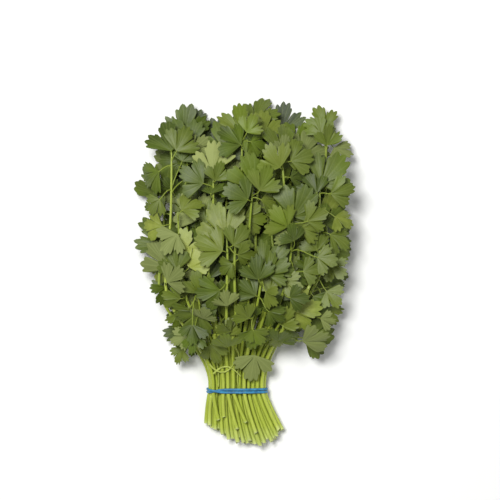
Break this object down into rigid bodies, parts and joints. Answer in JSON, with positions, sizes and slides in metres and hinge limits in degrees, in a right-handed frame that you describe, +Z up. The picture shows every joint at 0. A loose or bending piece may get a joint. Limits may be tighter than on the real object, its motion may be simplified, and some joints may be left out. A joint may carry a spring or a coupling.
{
  "type": "bunch of fresh coriander",
  "caption": "Bunch of fresh green coriander lying flat, its leafy stalks held near the cut ends by a doubled blue elastic band.",
  "frame": {"origin": "on the surface that the bunch lies on, under the middle of its bounding box", "axes": "+Y runs from the cut ends to the leaf tips, +X across the bunch, +Z up from the surface"},
  "size_m": [0.1784, 0.2818, 0.0698],
  "materials": {
    "leafy_stalk": "fresh green leaves, satin above and paler below, on pale yellow-green stalks",
    "short_stalk": "pale yellow-green stalk, ribbed and slightly glossy, whitish where it is cut",
    "elastic_band": "matt blue rubber"
  },
  "bodies": {
    "root": {"leafy_stalk_01": "leafy_stalk", "leafy_stalk_02": "leafy_stalk", "leafy_stalk_03": "leafy_stalk", "leafy_stalk_04": "leafy_stalk", "leafy_stalk_05": "leafy_stalk", "leafy_stalk_06": "leafy_stalk", "leafy_stalk_07": "leafy_stalk", "leafy_stalk_08": "leafy_stalk", "leafy_stalk_09": "leafy_stalk", "leafy_stalk_10": "leafy_stalk", "leafy_stalk_11": "leafy_stalk", "leafy_stalk_12": "leafy_stalk", "leafy_stalk_13": "leafy_stalk", "leafy_stalk_14": "leafy_stalk", "leafy_stalk_15": "leafy_stalk", "leafy_stalk_16": "leafy_stalk", "leafy_stalk_17": "leafy_stalk", "leafy_stalk_18": "leafy_stalk", "leafy_stalk_19": "leafy_stalk", "leafy_stalk_20": "leafy_stalk", "leafy_stalk_21": "leafy_stalk", "leafy_stalk_22": "leafy_stalk", "leafy_stalk_23": "leafy_stalk", "leafy_stalk_24": "leafy_stalk", "leafy_stalk_25": "leafy_stalk", "leafy_stalk_26": "leafy_stalk", "leafy_stalk_27": "leafy_stalk", "leafy_stalk_28": "leafy_stalk", "leafy_stalk_29": "leafy_stalk", "leafy_stalk_30": "leafy_stalk", "leafy_stalk_31": "leafy_stalk", "leafy_stalk_32": "leafy_stalk", "leafy_stalk_33": "leafy_stalk", "leafy_stalk_34": "leafy_stalk", "leafy_stalk_35": "leafy_stalk", "leafy_stalk_36": "leafy_stalk", "leafy_stalk_37": "leafy_stalk", "leafy_stalk_38": "leafy_stalk", "leafy_stalk_39": "leafy_stalk", "leafy_stalk_40": "leafy_stalk", "leafy_stalk_41": "leafy_stalk", "leafy_stalk_42": "leafy_stalk", "leafy_stalk_43": "leafy_stalk", "leafy_stalk_44": "leafy_stalk", "leafy_stalk_45": "leafy_stalk", "leafy_stalk_46": "leafy_stalk", "leafy_stalk_47": "leafy_stalk", "leafy_stalk_48": "leafy_stalk", "short_stalk_1": "short_stalk", "short_stalk_2": "short_stalk", "short_stalk_3": "short_stalk", "short_stalk_4": "short_stalk", "short_stalk_5": "short_stalk", "elastic_band": "elastic_band"}
  },
  "joints": []
}
